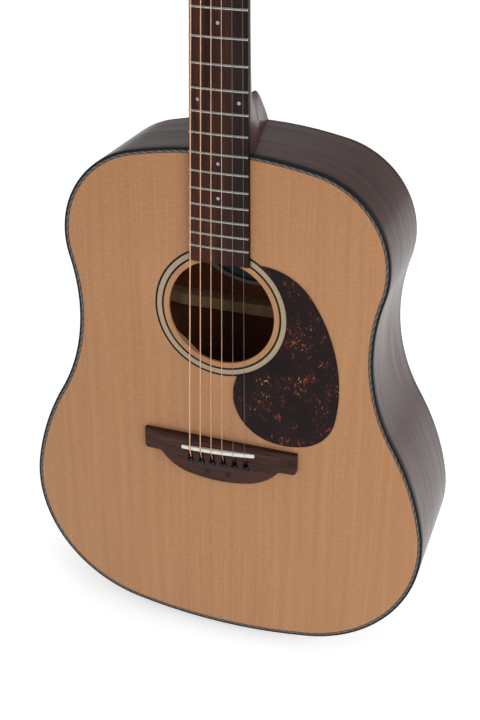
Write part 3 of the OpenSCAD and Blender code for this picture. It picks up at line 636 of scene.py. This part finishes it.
def make_rosette():
    """A cream ring between two black lines, all a hair above the soundboard."""
    proud = 0.00006
    rings = [("rosette_line_inner", BINDING), ("rosette_cream", CREAM), ("rosette_line_outer", BINDING)]
    for (name, material), r0, r1 in zip(rings, ROSETTE_RADII, ROSETTE_RADII[1:]):
        mesh = plate(name, [circle(0, HOLE_Z, r1), circle(0, HOLE_Z, r0)], -proud, ROSETTE_DEPTH)
        finish_piece(new_object(name, mesh), material, "guitar", ["rosette"])


# the pickguard's outer edge from its tip by the fingerboard: radius, sweep in degrees
GUARD_ARCS = [(-0.058, 60), (-0.157, 45.5), (-0.040, 63), (-0.067, 29), (-0.046, 101)]
GUARD_TIP = (0.0314, -0.4546, 5)
GUARD_INNER_RADIUS = 0.0619
GUARD_THICK = 0.001


def make_pickguard():
    """The guard's outer edge is a chain of arcs; its inner edge follows the rosette."""
    chain, (x_end, z_end, _) = arc_chain(GUARD_ARCS, GUARD_TIP)
    outer = [(x, z) for x, z in chain[:-1] if hypot(x, z - HOLE_Z) > GUARD_INNER_RADIUS]
    a0 = atan(x_end / (HOLE_Z - z_end))
    a1 = pi - asin(outer[0][0] / GUARD_INNER_RADIUS)
    steps = 60
    turns = [a0 + (a1 - a0) * k / steps for k in range(steps + 1)]
    inner = [(GUARD_INNER_RADIUS * sin(a), HOLE_Z - GUARD_INNER_RADIUS * cos(a)) for a in turns]
    mesh = plate("pickguard_plate", [outer + inner], -GUARD_THICK, 0.0, 0.0003)
    guard = new_object("pickguard_plate", mesh, radians(60))
    finish_piece(guard, TORTOISE, "guitar", ["pickguard"])


# ---- neck ----
HEAD_TILT = radians(14)
HEAD_FRAME = Matrix.Translation((0, -0.002, 0.005)) @ Matrix.Rotation(-HEAD_TILT, 4, "X")
HEAD_THICK = 0.016
VENEER = 0.002
HEEL_CAP = 0.0026


def neck_rows():
    """Sections of the shaft and heel, in mm, as the CAD lofts them: [front y, front z, half width, ridge y,
    ridge z, how pointed it is]."""
    def half(z):
        return board_half(z * MM) / MM
    base = TOP_Z / MM - 3
    depth = NECK_DEPTH / MM
    return [[0, 5, half(0), depth, 5, 0], [0, -80, half(-80), depth + 0.8, -80, 0],
            [0, -160, half(-160), depth + 1.6, -160, 0], [0, -240, half(-240), depth + 2.5, -240, 0],
            [0, -268, half(-268), 18.4, -262, 0], [0, -292, half(-292), 22, -281, 0.05],
            [0, -315, half(-315), 28.5, -297, 0.1], [0, -334, half(-334), 38.5, -309, 0.15],
            [0, -348, half(-348), 50.5, -317, 0.2], [0, base, half(base), 62, -322, 0.25],
            [20, base, 23.4, 71.5, -325, 0.3], [45, base, 18.2, 80, -326.4, 0.35],
            [70, base, 13.4, 87, -326.6, 0.45], [84, base, 11.4, 92.5, -328, 0.6],
            [94, base, 10.3, 97.5, -330.9, 0.8], [104, base, 9.4, 104, -335.8, 1]]


def section_points(row, sides=40):
    """One section from one front edge over the ridge to the other."""
    front_y, front_z, half, ridge_y, ridge_z = (v * MM for v in row[:5])
    front_y = max(0.0, front_y)
    narrow, reach = 1 + 0.9 * row[5], 1 + 0.7 * row[5]
    points = []
    for k in range(sides + 1):
        a = pi * k / sides
        side = 1 if k <= sides / 2 else -1
        x = side * half * abs(cos(a)) ** narrow
        t = max(0.0, sin(a)) ** reach
        points.append((x, front_y + (ridge_y - front_y) * t, front_z + (ridge_z - front_z) * t))
    return points


def past_back(point, off):
    """How far a point lies behind the plane off inside the back's outer face."""
    return point[1] - back_y(point[2]) + off


def cut_column(column, off):
    """A column of points up to that plane; the points beyond it gather where the column crosses it."""
    result = [Vector(column[0])]
    for point in column[1:]:
        last, here = result[-1], Vector(point)
        if past_back(last, off) >= -1e-9:
            result.append(last.copy())
        elif past_back(here, off) > 0:
            t = past_back(last, off) / (past_back(last, off) - past_back(here, off))
            result.append(last.lerp(here, t))
        else:
            result.append(here)
    return result


def make_neck():
    rows = [section_points(row) for row in refine(neck_rows(), 8)]
    columns = [[row[k] for row in rows] for k in range(len(rows[0]))]
    front = [cut_column(column, HEEL_CAP) for column in columns]
    mesh = grid_mesh("neck_shaft", [list(row) for row in zip(*front)], closed_ends=True, caps=True)
    weld(mesh, 2e-6)
    finish_piece(new_object("neck_shaft", mesh), NECK_WOOD, "guitar", ["neck"])
    cap_rows = []
    for off in (HEEL_CAP, 0.0006, 0.0002, 0.0):
        inset = 0.0004 if off == 0.0 else 0.0
        row = [cut_column(column, off)[-1] for column in columns]
        cap_rows.append([(p.x * (1 - inset / 0.01), p.y, p.z - inset) for p in row])
    mesh = grid_mesh("heel_button", cap_rows, closed_ends=True, caps=True)
    weld(mesh, 2e-6)
    finish_piece(new_object("heel_button", mesh), BINDING, "guitar", ["heel_cap"])


def head_outline():
    """The headstock's outline in its own plane, in metres."""
    half = [[NUT_WIDTH / 2 / MM, 0], [24, 9], [30, 20], [34.5, 30], [36, 40], [37, 80], [36, 120],
            [33.5, 160], [31, 176], [26, 180], [14, 183.8], [0, 185]]
    smooth = refine(half, 8)
    right = [(x * MM, z * MM) for x, z in smooth]
    return right + [(-x, z) for x, z in right[-2::-1]]


def make_head():
    outline = head_outline()
    wood = plate("head_wood", [outline], VENEER, HEAD_THICK, 0.0012, 4)
    wood.transform(HEAD_FRAME)
    finish_piece(new_object("head_wood", wood), NECK_WOOD, "guitar", ["neck"])
    veneer = plate("head_veneer", [outline], 0.0, VENEER, 0.0004)
    veneer.transform(HEAD_FRAME)
    finish_piece(new_object("head_veneer", veneer), ROSEWOOD, "guitar", ["headplate"])


# ---- bridge and strings ----
BRIDGE_HALF = 0.0763
BRIDGE_TOP_Z = -0.6375
BRIDGE_LOW_Z = -0.682
# lower edge from the centre line outwards: radius, sweep in degrees
BELLY_ARCS = [(0.143, 12), (0.048, 39.6), (-0.006, 51.6)]
BRIDGE_EDGE = 0.002
BRIDGE_THICK = 0.0085
WING_FROM = 0.052
WING_THICK = 0.005
# sizes along the strings, in mm
STRING_RADIUS = [0.15, 0.205, 0.305, 0.405, 0.535, 0.675]
SADDLE_SPACING = 54.7
PIN_SPACING = 55.5
NUT_SPACING = 36.4
NUT_HEIGHT = 7.4
SADDLE_MID_Z = -645.9
SADDLE_RISE = 4.3 / 73
SADDLE_HEIGHT = 11.9
POST_X = 24
POST_RADIUS = 3
POST_OUT = 9.6
POST_FIRST = 45
POST_STEP = 40
RAMP_WIDTH = 0.0044
RAMP_DEPTH = 0.0044
RAMP_END_DEPTH = 0.0022
RAMP_LENGTH = 0.0105
PIN_HOLE_RADIUS = 0.0027
BOLT_X = 0.0106
BOLT_Z = -0.6705
DOT_RADIUS = 0.00302
DOT_ROOM = 0.0032


def bridge_low(x, inset=0.0):
    """Lower edge of the bridge at x: the belly's arcs, then the straight wing with its round corner."""
    x = abs(x)
    x0, z0, heading = 0.0, BRIDGE_LOW_Z + inset, 0.0
    for radius, sweep in BELLY_ARCS:
        r = radius - inset
        turned = heading + radians(sweep if radius > 0 else -sweep)
        x1 = x0 + r * (sin(turned) - sin(heading))
        if x <= x1:
            return z0 + r * (cos(heading) - cos(asin(sin(heading) + (x - x0) / r)))
        z0 += r * (cos(heading) - cos(turned))
        x0, heading = x1, turned
    corner = 0.004
    over = min(max(0.0, x - (BRIDGE_HALF - corner)), corner)
    return z0 + corner - (corner ** 2 - over ** 2) ** 0.5


def bridge_fullness(x):
    """1 over the bridge's full thickness, falling to 0 at the tips of its wings."""
    return min(1.0, max(0.0, (BRIDGE_HALF - abs(x)) / (BRIDGE_HALF - WING_FROM))) ** 1.3


def bridge_column(x):
    """One section across the bridge at x, from its lower foot over the top to its upper foot."""
    round_r, clear, lip = 0.0009, 0.0008, 0.0004
    bevel_z, bevel_y = 0.0032, 0.0018
    tip = 0.0012
    full = bridge_fullness(x)
    height = WING_THICK + (BRIDGE_THICK - WING_THICK) * full
    end = max(0.0, 1 - (BRIDGE_HALF - abs(x)) / tip)
    height -= clear * (1 - (1 - end ** 2) ** 0.5)
    drop = lip + bevel_y * full
    low, high = bridge_low(x), BRIDGE_TOP_Z
    edge = max(low, bridge_low(x, BRIDGE_EDGE * full)) + 0.0001
    foot = min(WING_THICK, height) - clear
    shoulder, rise = height - round_r, edge + round_r
    column = [(x, 0.0, low), (x, -foot, low), (x, -shoulder, edge)]
    for k in range(1, 5):
        a = pi / 2 * k / 4
        column.append((x, -shoulder - round_r * sin(a), rise - round_r * cos(a)))
    inner_high = high - bevel_z
    for k in range(1, 13):
        column.append((x, -height, rise + (inner_high - rise) * k / 12))
    for k in range(1, 5):
        column.append((x, -height + drop * (k / 4) ** 1.1, inner_high + (bevel_z - lip) * k / 4))
    return column + [(x, -height + drop + lip, high), (x, 0.0, high)]


def make_bridge():
    """Sections side by side across the bridge, closer together towards its tips."""
    count = 200
    rows = [bridge_column(-BRIDGE_HALF * cos(pi * i / count)) for i in range(count + 1)]
    mesh = grid_mesh("bridge_body", rows, closed_ends=True, caps=True)
    obj = new_object("bridge_body", mesh, radians(28))
    cut_bridge(obj)
    finish_piece(obj, BRIDGE_WOOD, "guitar", ["bridge"])


def pin_place(i):
    """Centre of bridge pin i on the soundboard's plane, in metres."""
    x = (3.5 - i) / 5 * PIN_SPACING
    return x * MM, (-661.2 + 0.036 * x) * MM


def add_slot(bm, x, z):
    """A slot up from the pin at x, z, its floor rising to a round far end."""
    half = RAMP_WIDTH / 2
    steps = 12
    straight = RAMP_LENGTH - half
    far_end = [(half * cos(pi * k / steps), straight + half * sin(pi * k / steps)) for k in range(steps + 1)]
    outline = [(-half, 0.0), (half, 0.0)] + far_end
    top, floor = [], []
    for dx, dz in outline:
        depth = RAMP_DEPTH + (RAMP_END_DEPTH - RAMP_DEPTH) * dz / RAMP_LENGTH
        top.append(bm.verts.new((x + dx, -BRIDGE_THICK - 0.002, z + dz)))
        floor.append(bm.verts.new((x + dx, -BRIDGE_THICK + depth, z + dz)))
    count = len(outline)
    bm.faces.new(top)
    bm.faces.new(floor[::-1])
    for k in range(count):
        bm.faces.new([top[k], floor[k], floor[(k + 1) % count], top[(k + 1) % count]])


def add_bore(bm, x, z, radius, y0, y1):
    """A round cutter across the bridge between depths y0 and y1."""
    place = Matrix.Translation((x, (y0 + y1) / 2, z)) @ Matrix.Rotation(pi / 2, 4, "X")
    bmesh.ops.create_cone(bm, cap_ends=True, segments=48, radius1=radius, radius2=radius, depth=y1 - y0,
                          matrix=place)


def cut_bridge(obj):
    """Cuts the pin holes, with a slot for each string, and the room for the bolt dots out of the bridge."""
    bm = bmesh.new()
    for i in range(1, 7):
        x, z = pin_place(i)
        add_bore(bm, x, z, PIN_HOLE_RADIUS, -0.016, 0.004)
        add_slot(bm, x, z)
    for x in (-BOLT_X, BOLT_X):
        add_bore(bm, x, BOLT_Z, DOT_RADIUS, -0.016, -BRIDGE_THICK + DOT_ROOM)
    bmesh.ops.recalc_face_normals(bm, faces=bm.faces)
    mesh = bpy.data.meshes.new("pin_cutter")
    bm.to_mesh(mesh)
    bm.free()
    cutter = bpy.data.objects.new("pin_cutter", mesh)
    bpy.context.scene.collection.objects.link(cutter)
    modifier = obj.modifiers.new("holes", "BOOLEAN")
    modifier.object = cutter
    modifier.operation = "DIFFERENCE"
    modifier.solver = "EXACT"
    modifier.use_self = True
    apply_modifiers(obj)
    bpy.data.objects.remove(cutter)


def apply_modifiers(obj):
    graph = bpy.context.evaluated_depsgraph_get()
    mesh = bpy.data.meshes.new_from_object(obj.evaluated_get(graph))
    obj.modifiers.clear()
    old = obj.data
    obj.data = mesh
    bpy.data.meshes.remove(old)
    for face in mesh.polygons:
        face.use_smooth = True
    mesh.set_sharp_from_angle(angle=radians(28))


def head_point(x, y, z):
    return HEAD_FRAME @ Vector((x * MM, y * MM, z * MM))


def string_path(i):
    """Route of string i from its ball end over the saddle and nut to the tuner post, in metres."""
    r = STRING_RADIUS[i - 1]
    px, pz = (v / MM for v in pin_place(i))
    side = 1 if i <= 3 else -1
    sx = (3.5 - i) / 5 * SADDLE_SPACING
    nx = (3.5 - i) / 5 * NUT_SPACING
    crown = BOARD_RADIUS / MM * 2
    saddle_z = SADDLE_MID_Z + sx * SADDLE_RISE
    saddle_y = -SADDLE_HEIGHT + sx * sx / crown - r
    nut_y = -NUT_HEIGHT + nx * nx / crown - r
    post_x = side * (POST_X - POST_RADIUS - r - 0.15)
    post_z = POST_FIRST + POST_STEP * min(i - 1, 6 - i)
    points = [(px, 6.6, pz + 3.5), (px, 5.0, pz + 1.9), (px, -5.8, pz + 1.9), (px, -6.9, pz + 2.5),
              (sx, saddle_y + 0.3, saddle_z - 1.3), (sx, saddle_y, saddle_z - 0.4),
              (sx, saddle_y, saddle_z + 0.6), (nx, nut_y, 0.2), (nx, nut_y, 4.4), (nx, nut_y + 0.4, 5.6)]
    route = [Vector(p) * MM for p in points]
    return route + [head_point(post_x, -POST_OUT, post_z)]


def add_ball(mesh, i):
    """The small drum at the end of string i, under the bridge plate."""
    radius, width = 0.002, 0.0036
    px, pz = pin_place(i)
    place = Matrix.Translation((px, 0.0075, pz + 0.0048)) @ Matrix.Rotation(pi / 2, 4, "Y")
    bm = bmesh.new()
    bm.from_mesh(mesh)
    bmesh.ops.create_cone(bm, cap_ends=True, segments=24, radius1=radius, radius2=radius, depth=width,
                          matrix=place)
    bm.to_mesh(mesh)
    bm.free()


def make_strings():
    """Strings 1 and 2 are plain steel; the others are wound with bronze."""
    for i in range(1, 7):
        name = f"string_{i}_wire"
        mesh = tube(name, string_path(i), STRING_RADIUS[i - 1] * MM, 12)
        add_ball(mesh, i)
        material, slot = (STEEL, "plain_steel") if i < 3 else (BRONZE, "bronze_wound")
        finish_piece(new_object(name, mesh), material, "guitar", [f"string_{i}"])


# ---- finishes of the CAD pieces that keep their shape ----
def coat(material, *nodes):
    for node in nodes:
        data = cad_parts[node].data
        data.materials.clear()
        data.materials.append(material)


def coat_cad():
    coat(BOARD_WOOD, "fingerboard")
    coat(FRET_WIRE, "frets")
    coat(PEARL, "inlay_dots")
    coat(BONE, "nut", "saddle")
    coat(EBONY, "bridge_dots")
    coat(BLACK, "strap_pin", *[f"bridge_pin_{i}" for i in range(1, 7)])
    coat(BRACE_SPRUCE, "top_lining", "back_lining", "x_brace", "top_braces", "back_braces")
    coat(INNER_WOOD, "neck_block", "tail_block", "bridge_plate")
    coat(STEEL, "bridge_bolts", "truss_rod")
    coat(CHROME, "tuner_housings", "tuner_bushings", "tuner_screws",
         *[f"tuner_{part}_{i}" for part in ("key", "post") for i in range(1, 7)])
    low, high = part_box("label")
    centre = ((low.x + high.x) / 2, (low.z + high.z) / 2)
    radii = ((high.x - low.x) / 2, (high.z - low.z) / 2)
    coat(label_material("label_paper", centre, radii), "label")


# ---- studio ----
def make_floor():
    """A white floor under the guitar that fades to the world's grey far away, so that no horizon shows."""
    mesh = bpy.data.meshes.new("studio_floor")
    z = CAD_BOX[0][2] - 0.0005
    rings = [0.5, 1, 2, 3, 4, 5, 6, 8, 10, 13, 17, 22, 30]
    fade_from, fade_to = 4.0, 12.0
    glow_near, glow_far = 0.55, 0.03
    count = 64
    rows = [[(x, y, z) for x, y in circle(0, 0, r, count)] for r in rings]
    verts = [(0, 0, z)] + [point for row in rows for point in row]
    faces = [(0, 1 + k, 1 + (k + 1) % count) for k in range(count)]
    for i in range(len(rings) - 1):
        near, far = 1 + i * count, 1 + (i + 1) * count
        faces += [(near + k, far + k, far + (k + 1) % count, near + (k + 1) % count) for k in range(count)]
    mesh.from_pydata(verts, [], faces)
    floor = bpy.data.objects.new("studio_floor", mesh)
    bpy.context.scene.collection.objects.link(floor)
    s = Shader("studio_floor", Roughness=0.9, Specular_IOR_Level=0.1, Emission_Color=(1, 1, 1, 1))
    x, y, _ = s.split(s.coords())
    reach = s.math("SQRT", s.math("ADD", s.math("MULTIPLY", x, x), s.math("MULTIPLY", y, y)))
    s.put(s.bsdf.inputs["Emission Strength"], s.scale_to(reach, fade_from, fade_to, glow_near, glow_far))
    grain = s.noise(s.coords(), 30.0, 3.0)
    mesh.materials.append(s.finish(s.mix(grain, rgb(250, 250, 250), rgb(247, 247, 247))))


def area_light(name, place, target, size, power, colour=(1, 1, 1)):
    light = bpy.data.lights.new(name, "AREA")
    light.shape = "RECTANGLE"
    light.size, light.size_y = size
    light.energy = power
    light.color = colour
    obj = bpy.data.objects.new(name, light)
    obj.location = place
    obj.rotation_euler = (Vector(place) - Vector(target)).to_track_quat("Z", "Y").to_euler()
    bpy.context.scene.collection.objects.link(obj)


def make_lights():
    world = bpy.data.worlds.new("studio")
    world.use_nodes = True
    background = world.node_tree.nodes["Background"]
    background.inputs["Color"].default_value = (1, 1, 1, 1)
    background.inputs["Strength"].default_value = 0.45
    bpy.context.scene.world = world
    middle = (0.0, 0.0, -0.45)
    area_light("key", (1.6, -1.3, 0.35), middle, (1.0, 1.0), 18.5)
    area_light("fill", (-1.8, -2.2, 1.4), middle, (2.0, 2.0), 5)
    area_light("side", (2.3, 0.6, 0.3), middle, (0.9, 1.8), 12)
    area_light("top", (0.2, 0.8, 2.2), middle, (1.6, 1.0), 8)


CAMERA_AZIMUTH = radians(19.17)
CAMERA_ELEVATION = radians(27.87)
CAMERA_ROLL = radians(0.41)
CAMERA_PLACE = (0.3264, -0.8854, -0.0539)
CAMERA_LENS = 58.45
CAMERA_SENSOR = 36


def make_camera():
    """The viewpoint: to the treble side of the front and looking down."""
    flat = cos(CAMERA_ELEVATION)
    back = Vector((sin(CAMERA_AZIMUTH) * flat, -cos(CAMERA_AZIMUTH) * flat, sin(CAMERA_ELEVATION)))
    right = Vector((cos(CAMERA_AZIMUTH), sin(CAMERA_AZIMUTH), 0))
    up = back.cross(right)
    turned_right = cos(CAMERA_ROLL) * right + sin(CAMERA_ROLL) * up
    turned_up = cos(CAMERA_ROLL) * up - sin(CAMERA_ROLL) * right
    data = bpy.data.cameras.new("camera")
    data.sensor_width = CAMERA_SENSOR
    data.lens = CAMERA_LENS
    data.clip_start = 0.02
    camera = bpy.data.objects.new("camera", data)
    axes = Matrix((turned_right, turned_up, back)).transposed().to_4x4()
    camera.matrix_world = Matrix.Translation(CAMERA_PLACE) @ axes
    bpy.context.scene.collection.objects.link(camera)
    bpy.context.scene.camera = camera


make_camera()
make_lights()
make_floor()
make_top()
make_back()
make_ribs()
make_tail_strip()
make_rosette()
make_pickguard()
make_neck()
make_head()
make_bridge()
make_strings()
coat_cad()
bpy.context.scene.view_settings.view_transform = "Standard"

bpy.context.view_layer.update()
